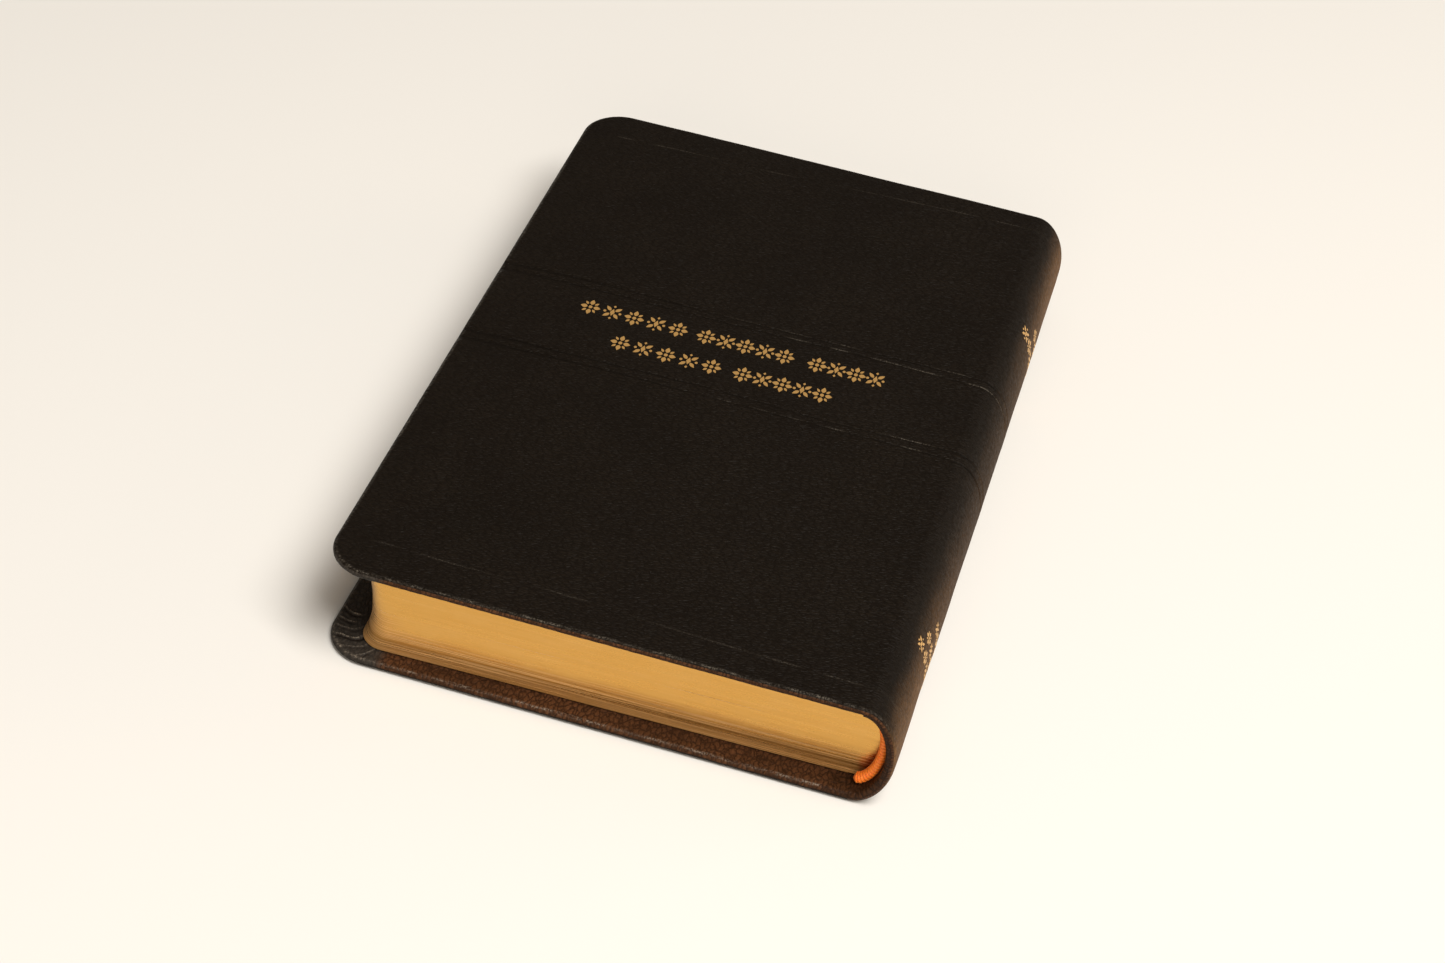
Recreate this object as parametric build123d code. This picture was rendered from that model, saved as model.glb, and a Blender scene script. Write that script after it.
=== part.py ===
from build123d import *
import math
import os

# A leather-bound bible, closed and lying on its back cover. Millimetres.
# Origin: centre of the bounding box's footprint. +X points to the spine,
# +Y to the head of the book, +Z up from the back cover to the front cover.

# Driving dimensions
LENGTH = 190.0             # head to tail, over the covers
WIDTH = 125.0              # fore-edge to the outermost point of the spine
THICK = 26.5               # outer face to outer face of the covers
SECTIONS = 24              # sewn sections in the text block

# Covers: leather folded round a flexible board, with an infill and a pastedown
SKIN_T = 0.9               # leather
BOARD_T = 0.7              # flexible board
TURN_T = 0.6               # leather folded in over the board's inner face
INFILL_T = 0.35            # card between the turn-ins
PASTE_T = TURN_T - INFILL_T
COVER_T = SKIN_T + BOARD_T + TURN_T
CORNER_R = 10.0            # rounded fore-edge corners of the covers
TURN_W = 14.0              # width of the turned-in leather
FOLD_W = 1.2               # leather round the edge of the board
EDGE_R = 0.85              # softened outer edge of the covers
FIT = 0.05                 # gap round boards, infills and pastedowns

# Spine: every layer is a half ellipse about one centre
SPINE_A = 8.4              # bulge of the leather beyond the joints
SPINE_T = 1.0              # leather over the spine
BLOCK_A = 6.0              # bulge of the text block's rounded back
THREAD_T = 0.3             # sewing threads and tapes on the back
MULL_T = 0.25              # open cloth glued over the sewing
HOLLOW_T = 0.35            # paper hollow that carries the leather

# Text block
SQUARE = 5.0               # cover overhang at head and tail
FORE_SQUARE = 7.0          # cover overhang at the fore-edge
LEAF_T = 0.15              # free endpapers
GAP = 0.05                 # clearance above and below each endpaper
SPLIT = 0.06               # clearance at the middle opening
HOLLOW_SAG = 1.9           # depth of the concave fore-edge
PAGE_R = 5.5               # rounded fore-edge corners of the pages
FOLD_R = 0.25              # rounding of each section's folded back

# Sewing and bands
TAPE_W = 12.0
TAPE_Y = (-52.0, 0.0, 52.0)
THREAD_D = 0.24
BAND_T = 1.7               # silk band, across the back
BAND_H = 1.9               # silk band, along the book
BAND_CORE = 0.8
BAND_INSET = 0.1           # band behind the outermost point of the back

# Derived levels and places
X_FORE = -WIDTH / 2
X_AXIS = WIDTH / 2 - SPINE_A          # centre of the spine's ellipses
Z_MID = THICK / 2
X_COVER = X_AXIS - 0.1                # spine-side edge of both covers
BLOCK_Z0 = COVER_T + LEAF_T + 2 * GAP
BLOCK_Z1 = THICK - BLOCK_Z0
BLOCK_HALF = Z_MID - BLOCK_Z0
BLOCK_LEN = LENGTH - 2 * SQUARE
PAGE_X = X_FORE + FORE_SQUARE
SECTION_T = (2 * BLOCK_HALF - SPLIT) / SECTIONS
FORE_ARC_R = (BLOCK_HALF**2 + HOLLOW_SAG**2) / (2 * HOLLOW_SAG)


def slab(x0, x1, length, z0, z1, corner=0.0):
    """A flat slab centred on Y, with its two fore-edge corners rounded."""
    solid = Pos((x0 + x1) / 2, 0, (z0 + z1) / 2) * Box(x1 - x0, length, z1 - z0)
    if corner:
        uprights = solid.edges().filter_by(Axis.Z).group_by(Axis.X)[0]
        solid = fillet(uprights, corner)
    return solid


def ring(outer, inner, length, y=0.0):
    """The spine half of an elliptical layer, as wide as length along Y."""
    section = Ellipse(*outer) - Ellipse(*inner)
    half = Pos(outer[0], 0) * Rectangle(2 * outer[0], 4 * outer[1])
    profile = Plane.XZ * (Pos(X_AXIS, Z_MID) * (section & half))
    return Pos(0, y, 0) * extrude(profile, length / 2, both=True)


def grown(extra):
    """Half axes of the text block's back, grown outwards."""
    return BLOCK_A + extra, BLOCK_HALF + extra


# Covers, drawn as the back cover lying on Z = 0

def cover_leather():
    """Skin, folded edge and turn-in, with the pocket that holds the board."""
    skin = slab(X_FORE, X_COVER, LENGTH, 0, COVER_T, CORNER_R)
    outer = skin.faces().sort_by(Axis.Z)[0].edges()
    soft = [e for e in outer if e.center().X < X_COVER - 1]
    skin = fillet(soft, EDGE_R)
    pocket = slab(X_FORE + FOLD_W, X_COVER + 1, LENGTH - 2 * FOLD_W,
                  SKIN_T, SKIN_T + BOARD_T, CORNER_R - FOLD_W)
    window = slab(X_FORE + TURN_W, X_COVER + 1, LENGTH - 2 * TURN_W,
                  SKIN_T + BOARD_T, COVER_T + 1, 1.0)
    return skin - pocket - window


def cover_board():
    inset = FOLD_W + FIT
    return slab(X_FORE + inset, X_COVER - FIT, LENGTH - 2 * inset,
                SKIN_T, SKIN_T + BOARD_T, CORNER_R - inset)


def cover_infill():
    inset = TURN_W + FIT
    base = SKIN_T + BOARD_T
    return slab(X_FORE + inset, X_COVER - FIT, LENGTH - 2 * inset,
                base, base + INFILL_T, 0.8)


def cover_pastedown():
    inset = TURN_W + FIT
    return slab(X_FORE + inset, X_COVER - FIT, LENGTH - 2 * inset,
                COVER_T - PASTE_T, COVER_T, 0.8)


def as_front(solid):
    """The same sheet on the front cover."""
    return mirror(solid, about=Plane.XY.offset(Z_MID))


# Text block

def block_back(z):
    """X of the rounded back at a height."""
    up = min(abs(z - Z_MID) / BLOCK_HALF, 1.0)
    return X_AXIS + BLOCK_A * math.sqrt(1 - up**2)


def block_fore(z):
    """X of the hollow fore-edge at a height."""
    return PAGE_X + HOLLOW_SAG - FORE_ARC_R + math.sqrt(FORE_ARC_R**2 - (z - Z_MID)**2)


def section_floor(index):
    """Height of the underside of a section, counted from the back cover."""
    split = SPLIT if index >= SECTIONS // 2 else 0.0
    return BLOCK_Z0 + index * SECTION_T + split


def section(index):
    """One folded and sewn section; its back stays inside the rounded back."""
    z0 = section_floor(index)
    z1 = z0 + SECTION_T
    back = min(block_back(z0), block_back(z1))
    leaves = slab(block_fore((z0 + z1) / 2), back, BLOCK_LEN, z0, z1, PAGE_R)
    fold = leaves.edges().filter_by(Axis.Y).group_by(Axis.X)[-1]
    return fillet(fold, FOLD_R)


def endpaper():
    """The free endpaper over the back cover."""
    z0 = COVER_T + GAP
    return slab(PAGE_X, X_AXIS - 0.1, BLOCK_LEN, z0, z0 + LEAF_T, PAGE_R)


# Sewing

def thread_runs():
    """Y spans of thread on the back, between the tapes and the kettle stitches."""
    stops = [-BLOCK_LEN / 2 + 14]
    for y in TAPE_Y:
        stops += [y - TAPE_W / 2 - 1, y + TAPE_W / 2 + 1]
    stops.append(BLOCK_LEN / 2 - 14)
    return list(zip(stops[0::2], stops[1::2]))


def sewing_thread(first, last):
    """Threads along the folded backs of some sections."""
    layer = ring(grown(THREAD_T), grown(FIT), BLOCK_LEN)
    runs = []
    for index in range(first, last):
        z = section_floor(index) + SECTION_T / 2
        for y0, y1 in thread_runs():
            box = Box(2 * SPINE_A, y1 - y0, THREAD_D)
            runs.append(layer & Pos(X_AXIS + SPINE_A, (y0 + y1) / 2, z) * box)
    return Compound(children=[s for run in runs for s in run.solids()])


def sewing_tape(y):
    return ring(grown(THREAD_T), grown(FIT), TAPE_W, y)


def mull_cloth():
    inner = THREAD_T + FIT
    return ring(grown(inner + MULL_T), grown(inner), BLOCK_LEN - 20)


def spine_hollow():
    inner = THREAD_T + MULL_T + 2 * FIT
    return ring(grown(inner + HOLLOW_T), grown(inner), BLOCK_LEN - 8)


def band(head, core):
    """Silk over a cord, at the head or the tail of the back."""
    side = 1 if head else -1
    inset = BAND_INSET + (BAND_T - BAND_CORE) / 2
    thick = BAND_CORE
    y = side * (BLOCK_LEN / 2 + BAND_H / 2 + FIT)
    cord = ring(grown(-inset), grown(-inset - thick), BAND_CORE, y)
    if core:
        return cord
    silk = ring(grown(-BAND_INSET), grown(-BAND_INSET - BAND_T), BAND_H, y)
    return silk - cord


def spine_leather():
    """Leather over the spine and down to both joints."""
    outer = (SPINE_A, Z_MID)
    inner = (SPINE_A - SPINE_T, Z_MID - SPINE_T)
    return ring(outer, inner, LENGTH)


def nodes():
    """Every node, by name."""
    parts = {}
    sheets = {"leather": cover_leather(), "board": cover_board(),
              "infill": cover_infill(), "pastedown": cover_pastedown()}
    for name, solid in sheets.items():
        parts["back_cover_" + name] = solid
        parts["front_cover_" + name] = as_front(solid)
    parts["back_endpaper"] = endpaper()
    parts["front_endpaper"] = as_front(endpaper())
    for index in range(SECTIONS):
        parts[f"section_{index + 1:02d}"] = section(index)
    parts["sewing_thread_lower"] = sewing_thread(0, SECTIONS // 2)
    parts["sewing_thread_upper"] = sewing_thread(SECTIONS // 2, SECTIONS)
    for number, y in enumerate(TAPE_Y, 1):
        parts[f"sewing_tape_{number}"] = sewing_tape(y)
    parts["mull_cloth"] = mull_cloth()
    parts["spine_hollow"] = spine_hollow()
    parts["spine_leather"] = spine_leather()
    for end, head in (("head", True), ("tail", False)):
        parts[end + "_band_silk"] = band(head, False)
        parts[end + "_band_core"] = band(head, True)
    return parts


def main():
    os.makedirs("parts", exist_ok=True)
    for name, solid in nodes().items():
        solid.label = name
        export_step(solid, f"parts/{name}.step")


main()
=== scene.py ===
import math

import bmesh
import bpy
import numpy as np
from mathutils import Matrix, Vector


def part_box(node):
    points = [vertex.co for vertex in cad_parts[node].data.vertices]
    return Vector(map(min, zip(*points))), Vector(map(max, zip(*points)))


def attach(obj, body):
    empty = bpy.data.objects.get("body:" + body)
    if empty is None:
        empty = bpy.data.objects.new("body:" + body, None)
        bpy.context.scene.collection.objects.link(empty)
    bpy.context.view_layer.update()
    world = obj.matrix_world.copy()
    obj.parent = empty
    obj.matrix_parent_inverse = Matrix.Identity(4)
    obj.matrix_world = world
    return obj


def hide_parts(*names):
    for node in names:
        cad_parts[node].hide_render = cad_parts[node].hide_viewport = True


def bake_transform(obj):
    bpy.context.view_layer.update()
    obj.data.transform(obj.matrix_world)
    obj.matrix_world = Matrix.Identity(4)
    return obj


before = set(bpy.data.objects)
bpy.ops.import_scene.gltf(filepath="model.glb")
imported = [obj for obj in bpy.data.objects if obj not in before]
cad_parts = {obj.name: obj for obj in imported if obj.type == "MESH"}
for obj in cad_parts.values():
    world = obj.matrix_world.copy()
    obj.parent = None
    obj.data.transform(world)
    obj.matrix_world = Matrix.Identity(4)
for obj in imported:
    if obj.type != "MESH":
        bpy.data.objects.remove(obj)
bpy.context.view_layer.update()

# Lengths below are in millimetres, in the row frame, and MM turns them into metres.
MM = 0.001


# ---------------------------------------------------------------- sizes from the frame

def node_box(node):
    lo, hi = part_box(node)
    return np.array(lo) / MM, np.array(hi) / MM


front_lo, front_hi = node_box("front_cover_leather")
spine_lo, spine_hi = node_box("spine_leather")
block_lo, _ = node_box("section_01")
_, mid_hi = node_box("section_12")
split_lo, _ = node_box("section_13")
_, top_hi = node_box("section_24")
leaf_lo, leaf_hi = node_box("back_endpaper")
fly_lo, fly_hi = node_box("front_endpaper")

X_FORE, X_COVER = front_lo[0], front_hi[0]
HALF_Y = front_hi[1]
THICK = front_hi[2]
COVER_T = front_hi[2] - front_lo[2]
Z_MID = THICK / 2
X_AXIS = spine_lo[0]
SPINE_A = spine_hi[0] - spine_lo[0]
CORNER_R = 10.0            # fore-edge corners of the covers
SPINE_T = 1.0              # leather over the spine
TURNED_T = 1.5             # extra thickness where it is turned in at head and tail
PAGE_X = block_lo[0]
PAGE_Y = block_lo[1] * -1
PAGE_R = 5.5               # fore-edge corners of the pages
BLOCK_HALF = Z_MID - block_lo[2]
BLOCK_A = mid_hi[0] - X_AXIS

# Each cover's outer face falls away by DROOP over the last DROOP_W before the fore-edge
DROOP, DROOP_W = 0.42, 13.0
DROOP_SHARE = 0.55         # the front cover's lip and inner face follow by this share of it
END_DROOP, END_DROOP_W = 0.16, 9.0     # the outer face's fall at head and tail

# Tooling and turn-ins on the leather
ARC_END = 18.0             # across the sheet, about where the rounded spine meets the flat cover
LINES_Y = (21.7, 19.3, -6.9, -9.6)     # two pairs of blind lines across the book
FORE_LINE = 7.4                        # turn-in showing through, in from the fore-edge
END_LINE = (10.6, 6.9)                 # the same at head and tail: at the fore-edge, at the spine


# ---------------------------------------------------------------- small helpers

def waves(x, y, seed, size, count=9):
    """Smooth noise between about -1 and 1, with features about size across."""
    r = np.random.default_rng(seed)
    total = 0.0
    for _ in range(count):
        angle, phase = r.uniform(0, 2 * math.pi, 2)
        k = 2 * math.pi / (size * r.uniform(0.7, 1.6))
        total = total + np.cos(k * (x * math.cos(angle) + y * math.sin(angle)) + phase)
    return total / math.sqrt(count)


def bump_at(value, centre, width):
    return np.exp(-((value - centre) / width) ** 2)


def smooth(t):
    t = np.clip(t, 0, 1)
    return t * t * (3 - 2 * t)


def spread_samples(stops):
    """Samples through (position, spacing) stops, finer where the spacing is small."""
    out = [stops[0][0]]
    for (a, da), (b, db) in zip(stops, stops[1:]):
        n = max(1, round(2 * (b - a) / (da + db)))
        t = np.linspace(0, 1, n + 1)[1:]
        k = math.log(db / da)
        t = t if abs(k) < 1e-6 else (np.exp(k * t) - 1) / (math.exp(k) - 1)
        out += list(a + (b - a) * t)
    return np.array(out)


class MeshMaker:
    """Vertices, faces and vertex values of one piece, gathered grid by grid."""

    def __init__(self):
        self.points, self.sheet, self.wear, self.faces, self.slots = [], [], [], [], []
        self.count = 0

    def grid(self, points, sheet, wear, flip=False, slot=0, close_u=False):
        """A grid of points (rows, columns, 3); returns its vertex numbers."""
        rows, cols = points.shape[:2]
        ids = self.count + np.arange(rows * cols).reshape(rows, cols)
        self.count += rows * cols
        self.points.append(points.reshape(-1, 3))
        self.sheet.append(np.broadcast_to(sheet, points.shape).reshape(-1, 3))
        self.wear.append(np.broadcast_to(wear, (rows, cols)).reshape(-1))
        self.quads(ids, flip, slot, close_u)
        return ids

    def quads(self, ids, flip=False, slot=0, close_u=False):
        if close_u:
            ids = np.concatenate([ids, ids[:1]], 0)
        quad = np.stack([ids[:-1, :-1], ids[:-1, 1:], ids[1:, 1:], ids[1:, :-1]], -1).reshape(-1, 4)
        self.faces.append(quad[:, ::-1] if flip else quad)
        self.slots.append(np.full(len(quad), slot))

    def piece(self, name, materials, weld=1e-3, sharp=50):
        mesh = bpy.data.meshes.new(name)
        points = np.concatenate(self.points)
        faces = np.concatenate(self.faces)
        mesh.from_pydata((points * MM).tolist(), [], faces.tolist())
        for m in materials:
            mesh.materials.append(m)
        mesh.polygons.foreach_set("material_index", np.concatenate(self.slots).astype(np.int32))
        layer = mesh.attributes.new("sheet", "FLOAT_VECTOR", "POINT")
        layer.data.foreach_set("vector", np.concatenate(self.sheet).astype(np.float32).ravel())
        layer = mesh.attributes.new("wear", "FLOAT", "POINT")
        layer.data.foreach_set("value", np.concatenate(self.wear).astype(np.float32))
        obj = bpy.data.objects.new(name, mesh)
        bpy.context.scene.collection.objects.link(obj)
        weld_points(obj, weld * MM)
        mesh.polygons.foreach_set("use_smooth", [True] * len(mesh.polygons))
        mesh.set_sharp_from_angle(angle=math.radians(sharp))
        mesh.update()
        return obj


def weld_points(obj, distance):
    bm = bmesh.new()
    bm.from_mesh(obj.data)
    bmesh.ops.remove_doubles(bm, verts=bm.verts, dist=distance)
    bmesh.ops.dissolve_degenerate(bm, edges=bm.edges, dist=distance / 10)
    bmesh.ops.recalc_face_normals(bm, faces=bm.faces)
    bm.to_mesh(obj.data)
    bm.free()


# ---------------------------------------------------------------- materials

class Shader:
    """Builds a node material with short calls."""

    def __init__(self, name, color, roughness, metallic=0.0, specular=0.5):
        self.material = bpy.data.materials.new(name)
        self.material.use_nodes = True
        self.tree = self.material.node_tree
        self.main = self.tree.nodes["Principled BSDF"]
        self.main.inputs["Base Color"].default_value = (*color, 1)
        self.main.inputs["Roughness"].default_value = roughness
        self.main.inputs["Metallic"].default_value = metallic
        self.main.inputs["Specular IOR Level"].default_value = specular

    def node(self, kind, **inputs):
        n = self.tree.nodes.new(kind)
        for key, value in inputs.items():
            self.put(n.inputs[key.replace("_", " ")], value)
        return n

    def put(self, socket, value):
        if isinstance(value, bpy.types.NodeSocket):
            self.tree.links.new(value, socket)
        elif isinstance(value, tuple) and len(value) == 3 and socket.type == "RGBA":
            socket.default_value = (*value, 1)
        else:
            socket.default_value = value

    def math(self, operation, a, b=None, c=None, clamp=False):
        n = self.tree.nodes.new("ShaderNodeMath")
        n.operation, n.use_clamp = operation, clamp
        for socket, value in zip(n.inputs, (a, b, c)):
            if value is not None:
                self.put(socket, value)
        return n.outputs[0]

    def vector_math(self, operation, a, b):
        n = self.tree.nodes.new("ShaderNodeVectorMath")
        n.operation = operation
        self.put(n.inputs[0], a)
        self.put(n.inputs[1], b)
        return n.outputs[0]

    def attribute(self, name, output="Vector"):
        n = self.tree.nodes.new("ShaderNodeAttribute")
        n.attribute_name = name
        return n.outputs[output]

    def object_mm(self):
        n = self.tree.nodes.new("ShaderNodeTexCoord")
        return self.vector_math("MULTIPLY", n.outputs["Object"], (1 / MM,) * 3)

    def split(self, vector):
        return self.node("ShaderNodeSeparateXYZ", Vector=vector).outputs

    def noise(self, vector, scale, detail=3.0, rough=0.55, stretch=(1, 1, 1)):
        scaled = self.vector_math("MULTIPLY", vector, tuple(s * scale for s in stretch))
        n = self.node("ShaderNodeTexNoise", Vector=scaled, Scale=1.0, Detail=detail, Roughness=rough)
        return n.outputs["Fac"]

    def cells(self, vector, scale, stretch=(1, 1, 1), feature="DISTANCE_TO_EDGE"):
        scaled = self.vector_math("MULTIPLY", vector, tuple(s * scale for s in stretch))
        n = self.node("ShaderNodeTexVoronoi", Vector=scaled, Scale=1.0, Randomness=1.0)
        n.feature = feature
        return n.outputs["Distance"]

    def ramp(self, value, low, high, to_low=0.0, to_high=1.0):
        n = self.node("ShaderNodeMapRange", Value=value, From_Min=low, From_Max=high,
                      To_Min=to_low, To_Max=to_high)
        n.interpolation_type = "SMOOTHSTEP"
        return n.outputs["Result"]

    def mix(self, fac, a, b):
        n = self.tree.nodes.new("ShaderNodeMix")
        n.data_type = "RGBA"
        self.put(n.inputs["Factor"], fac)
        self.put(n.inputs["A"], a)
        self.put(n.inputs["B"], b)
        return n.outputs["Result"]

    def bump(self, height, distance_mm, strength=1.0, normal=None):
        n = self.node("ShaderNodeBump", Height=height, Distance=distance_mm * MM, Strength=strength)
        if normal is not None:
            self.put(n.inputs["Normal"], normal)
        return n.outputs["Normal"]

    def finish(self, color=None, roughness=None, normal=None):
        for key, value in (("Base Color", color), ("Roughness", roughness), ("Normal", normal)):
            if value is not None:
                self.put(self.main.inputs[key], value)
        return self.material


def leather_material(name, dark, light, worn, coarse=1.0, depth=0.05, rough=(0.40, 0.58),
                     painted_sheen=None, corner=None, lie=(0.40, 1.35)):
    """Pebbled goatskin: flat cells stretched across the book, creases, pores, worn high spots."""
    s = Shader(name, dark, 0.5, specular=0.075)
    sheet = s.attribute("sheet")
    lie = (*lie, 1.0)
    warp = s.node("ShaderNodeTexNoise", Vector=s.vector_math("MULTIPLY", sheet, (0.35, 0.5, 0.35)),
                  Scale=1.0, Detail=2.0)
    drift = s.vector_math("MULTIPLY", warp.outputs["Color"], (1.6, 0.9, 1.0))
    at = s.vector_math("ADD", sheet, drift)
    edge = s.cells(at, 1 / coarse, stretch=lie)
    cell = s.ramp(edge, 0.0, 0.26)
    small = s.ramp(s.cells(at, 2.0 / coarse, stretch=lie), 0.0, 0.25)
    folds = s.noise(at, 0.6 / coarse, detail=3.0, rough=0.5, stretch=(0.28, 1.9, 1.0))
    cracks = s.noise(at, 0.06, detail=2.0, stretch=(2.6, 0.35, 1.0))
    pores = s.noise(sheet, 7.0, detail=2.0)
    height = s.math("ADD", s.math("MULTIPLY", cell, 0.50), s.math("MULTIPLY", small, 0.10))
    height = s.math("MULTIPLY_ADD", folds, 1.5, height)
    height = s.math("MULTIPLY_ADD", cracks, 0.5, height)
    height = s.math("MULTIPLY_ADD", pores, 0.04, height)
    tone = s.ramp(s.noise(sheet, 0.04, detail=4.0), 0.3, 0.7)
    top = s.math("MULTIPLY", s.math("MULTIPLY_ADD", small, 0.35, s.math("MULTIPLY", cell, 0.65)),
                 s.math("MULTIPLY_ADD", tone, 0.5, 0.5))
    base = s.mix(top, dark, light)
    # Towards the fore-edge the painted reflection of the gold gives way to the corner colour.
    if corner:
        painted_light_fade = s.ramp(s.split(s.object_mm())["X"], -47.0, -50.5)
        base = s.mix(painted_light_fade, base, s.mix(top, tuple(0.45 * c for c in corner), corner))
    rough_add = 0.0
    # Painted sheen: a warm brown laid over the rounded spine, stronger towards head and tail, standing for
    # the warm light the spine catches at a grazing angle.
    if painted_sheen:
        color, inner, outer = painted_sheen
        place = s.math("ABSOLUTE", s.split(sheet)["X"])
        blotch = s.math("MULTIPLY_ADD", s.noise(sheet, 0.25, detail=4.0, stretch=(1.0, 0.35, 1.0)), 5.0, -2.5)
        painted_light_fade = s.ramp(s.math("ADD", place, blotch), outer, inner)
        ends = s.ramp(s.math("ABSOLUTE", s.split(sheet)["Y"]), 10.0, 88.0)
        color = s.mix(ends, color, tuple(1.75 * c for c in color))
        painted_light_fade = s.math("MULTIPLY", painted_light_fade, s.math("MULTIPLY_ADD", ends, 0.5, 0.5))
        base = s.mix(s.math("MULTIPLY", painted_light_fade, s.math("MULTIPLY_ADD", cell, 0.4, 0.6)), base, color)
        rough_add = s.ramp(place, ARC_END, ARC_END - 6.0, 0.0, 0.16)
    speck = s.ramp(s.noise(sheet, 2.6, detail=3.0, rough=0.7), 0.42, 0.62)
    wear = s.math("MULTIPLY", s.attribute("wear", "Fac"), speck, clamp=True)
    # Where the attribute is below zero it paints shade: on the leather's inner faces, in the joint by the
    # spine and in the pleat hollows. It also darkens the floor of each tooled line.
    worn_wear = s.attribute("wear", "Fac")
    base = s.mix(s.math("MULTIPLY", worn_wear, -1.0, clamp=True), base, tuple(0.25 * c for c in dark))
    # The worn colour marks rubbed leather and also paints the highlight along the pleat crests.
    color = s.mix(wear, base, worn)
    shine = s.math("ADD", s.ramp(s.noise(sheet, 0.9, detail=3.0), 0.3, 0.7, *rough), rough_add)
    normal = s.bump(height, depth)
    return s.finish(color, shine, normal)


def gilt_material():
    """Gold leaf on cut page edges: fine lines along the leaves, a few dull and scratched ones."""
    s = Shader("gilt_edge", (0.78, 0.42, 0.11), 0.3, metallic=1.0)
    at = s.object_mm()
    lines = s.noise(at, 1.0, detail=5.0, rough=0.7, stretch=(0.012, 0.012, 7.0))
    broad = s.noise(at, 1.0, detail=2.0, stretch=(0.03, 0.03, 1.1))
    cloud = s.noise(at, 0.16, detail=4.0, rough=0.6, stretch=(1, 1, 2.0))
    grain = s.noise(at, 5.0, detail=2.0)
    dull = s.ramp(lines, 0.58, 0.75)
    # Painted shade: darker gold towards the bottom of the edge and round the fore-edge corner, a painted
    # reflection of the shade and dark leather below and beside it.
    edge = s.math("MULTIPLY_ADD", cloud, 3.0, s.split(at)["Z"])
    low = s.ramp(edge, 12.0, 8.5)
    corner = s.math("MULTIPLY", s.ramp(s.split(at)["X"], -43.0, -52.0), s.ramp(edge, 17.0, 11.0))
    low = s.math("MAXIMUM", low, s.math("MULTIPLY", corner, 0.8))
    leaves = s.noise(at, 1.0, detail=3.0, rough=0.6, stretch=(0.02, 0.02, 3.4))
    fray = s.math("MULTIPLY", s.ramp(leaves, 0.47, 0.62), s.math("MULTIPLY_ADD", low, 0.80, 0.08))
    color = s.mix(s.math("MULTIPLY", dull, 0.4), (0.64, 0.35, 0.086), (0.45, 0.22, 0.05))
    color = s.mix(s.math("MULTIPLY", s.ramp(cloud, 0.35, 0.75), 0.2), color, (0.74, 0.45, 0.15))
    foot = s.ramp(s.math("MULTIPLY_ADD", cloud, 1.5, s.split(at)["Z"]), 7.0, 3.0)
    color = s.mix(s.math("MULTIPLY", low, 0.68), color, (0.40, 0.175, 0.042))
    color = s.mix(s.math("MULTIPLY", fray, 0.75), color, (0.92, 0.58, 0.26))
    color = s.mix(s.math("MULTIPLY", foot, 0.55), color, (0.70, 0.37, 0.13))
    s.put(s.main.inputs["Metallic"], s.math("MULTIPLY_ADD", foot, -0.55, 1.0))
    rough = s.ramp(s.math("ADD", s.math("MULTIPLY", broad, 0.6), s.math("MULTIPLY", cloud, 0.4)),
                   0.3, 0.7, 0.22, 0.36)
    rough = s.math("MULTIPLY_ADD", fray, 0.25, rough)
    height = s.math("MULTIPLY_ADD", grain, 0.10, lines)
    return s.finish(color, rough, s.bump(height, 0.009))


def foil_material():
    """Blocked gold foil, rubbed thin over the grain."""
    s = Shader("gold_foil", (0.60, 0.34, 0.11), 0.42, metallic=0.55)
    sheet = s.attribute("sheet")
    rub = s.ramp(s.noise(sheet, 2.2, detail=4.0, rough=0.7), 0.60, 0.78)
    color = s.mix(rub, (0.66, 0.39, 0.13), (0.24, 0.13, 0.05))
    grain = s.cells(sheet, 1.0, stretch=(0.62, 1.45, 1.0))
    return s.finish(color, s.ramp(rub, 0, 1, 0.40, 0.6), s.bump(grain, 0.03))


def page_material():
    """Thin paper, with two columns of soft grey rules where a page would be printed."""
    s = Shader("page_face", (0.80, 0.74, 0.62), 0.75, specular=0.25)
    at = s.object_mm()
    fibre = s.noise(at, 0.9, detail=5.0, rough=0.65)
    xyz = s.split(at)
    row = s.math("FRACT", s.math("DIVIDE", xyz["Y"], 2.4))
    in_row = s.math("MULTIPLY", s.ramp(row, 0.30, 0.38), s.ramp(row, 0.72, 0.64))
    step = s.math("FLOOR", s.math("DIVIDE", xyz["Y"], 2.4))
    words = s.noise(s.node("ShaderNodeCombineXYZ", X=xyz["X"], Y=s.math("MULTIPLY", step, 37.0)).outputs[0],
                    0.55, detail=1.0)
    dash = s.math("GREATER_THAN", words, 0.42)
    across = s.math("ABSOLUTE", s.math("SUBTRACT", xyz["X"], (PAGE_X + X_AXIS) / 2))
    cols = s.math("MULTIPLY", s.math("GREATER_THAN", across, 1.6), s.math("LESS_THAN", across, 43.0))
    frame_y = s.math("LESS_THAN", s.math("ABSOLUTE", xyz["Y"]), 78.0)
    ink = s.math("MULTIPLY", s.math("MULTIPLY", in_row, dash), s.math("MULTIPLY", cols, frame_y))
    paper = s.mix(s.ramp(fibre, 0.3, 0.7), (0.76, 0.70, 0.57), (0.83, 0.77, 0.66))
    color = s.mix(s.math("MULTIPLY", ink, 0.45), paper, (0.16, 0.14, 0.12))
    return s.finish(color, None, s.bump(fibre, 0.02))


def paper_material(name, low, high, scale=0.8, depth=0.03):
    """Plain laid paper or board with fibres."""
    s = Shader(name, low, 0.8, specular=0.2)
    at = s.object_mm()
    fibre = s.noise(at, scale, detail=6.0, rough=0.65, stretch=(1.0, 0.6, 1.0))
    fleck = s.ramp(s.noise(at, scale * 4, detail=2.0), 0.62, 0.74)
    color = s.mix(s.ramp(fibre, 0.3, 0.7), low, high)
    color = s.mix(s.math("MULTIPLY", fleck, 0.25), color, tuple(0.55 * c for c in low))
    return s.finish(color, None, s.bump(fibre, depth))


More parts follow.
